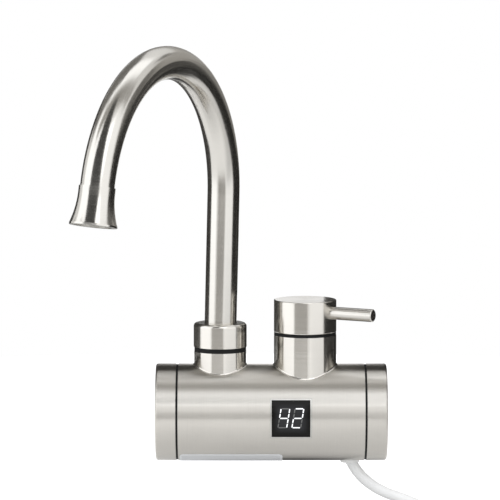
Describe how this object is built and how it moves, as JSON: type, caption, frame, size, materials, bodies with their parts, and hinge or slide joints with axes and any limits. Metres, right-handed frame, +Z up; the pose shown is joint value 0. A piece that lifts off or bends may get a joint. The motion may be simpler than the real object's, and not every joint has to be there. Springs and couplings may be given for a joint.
{
  "type": "wall-mounted electric heater tap",
  "caption": "Wall-mounted electric instant-heater tap: brushed-steel cylinder with a display, a swivelling gooseneck spout, a side-lever valve turret and a white mains cord.",
  "frame": {"origin": "centre of the inlet thread where it enters the wall, on the wall plane", "axes": "+X right along the body, -Y towards the person using the tap, +Z up; the wall is the plane y = 0 and the inlet thread runs along +Y"},
  "size_m": [0.4116, 0.291, 0.3629],
  "materials": {
    "brushed_steel": "fine brushed stainless steel, satin",
    "plain_steel": "plain stainless steel",
    "black_rubber": "matte black rubber",
    "display_black": "glossy black window",
    "bezel_silver": "silvered plastic rim",
    "led_face": "lit white digits",
    "circuit_board": "green circuit board",
    "label_silver": "bare silver label",
    "brass": "turned brass",
    "ceramic_white": "lapped ceramic",
    "inner_plastic": "moulded plastic",
    "white_pvc": "white PVC, satin"
  },
  "bodies": {
    "base": {"body_shell": "brushed_steel", "end_cap_left": "brushed_steel", "end_cap_right": "brushed_steel", "cap_screws": "plain_steel", "tank_screws": "plain_steel", "spout_lock_screw": "plain_steel", "heater_tank": "plain_steel", "tank_end_plate": "plain_steel", "heating_element": "plain_steel", "temperature_probe": "plain_steel", "board_bracket": "plain_steel", "inlet_strainer": "plain_steel", "wall_flange": "plain_steel", "end_gaskets": "black_rubber", "swivel_ring": "black_rubber", "turret_ring": "black_rubber", "inlet_washer": "black_rubber", "tank_seal": "black_rubber", "cartridge_seal": "black_rubber", "display_window": "display_black", "display_bezel": "bezel_silver", "led_module": "led_face", "display_board": "circuit_board", "control_board": "circuit_board", "blank_label": "label_silver", "valve_block": "brass", "inlet_nipple": "brass", "spout_socket": "brass", "cartridge_nut": "brass", "plug_contacts": "brass", "fixed_ceramic_disc": "ceramic_white", "cartridge_housing": "inner_plastic", "flow_switch_housing": "inner_plastic", "reed_switch": "inner_plastic", "spout_bush": "inner_plastic", "inlet_saddle": "inner_plastic", "terminal_block": "inner_plastic", "power_relay": "inner_plastic", "thermal_cutout": "inner_plastic", "cord_stop": "inner_plastic", "inner_leads": "inner_plastic", "cable_grommet": "white_pvc", "cord_run": "white_pvc", "cord_coil": "white_pvc", "cord_tail": "white_pvc", "coil_tie": "white_pvc", "plug_body": "white_pvc"},
    "spout": {"spout_tube": "brushed_steel", "spout_collar": "brushed_steel", "spout_spigot": "brass", "spout_o_rings": "black_rubber", "outlet_nozzle": "brushed_steel", "aerator_insert": "inner_plastic", "aerator_washer": "black_rubber"},
    "handle": {"handle_cap": "brushed_steel", "handle_lever": "brushed_steel", "lever_grub_screw": "plain_steel", "cartridge_stem": "brass", "moving_ceramic_disc": "ceramic_white"},
    "plunger": {"flow_plunger": "inner_plastic"}
  },
  "joints": [
    {"name": "spout_swivel", "type": "hinge", "parent": "base", "child": "spout", "pos_m": [-0.05829, -0.062, 0.05], "axis": [0, 0, 1], "range_deg": [-64.6, 115.4]},
    {"name": "handle_turn", "type": "hinge", "parent": "base", "child": "handle", "pos_m": [0, -0.062, 0.066], "axis": [0, 0, 1], "range_deg": [-122, 0]},
    {"name": "flow_plunger_slide", "type": "slide", "parent": "base", "child": "plunger", "axis": [-1, 0, 0], "range_m": [0, 0.004]}
  ]
}
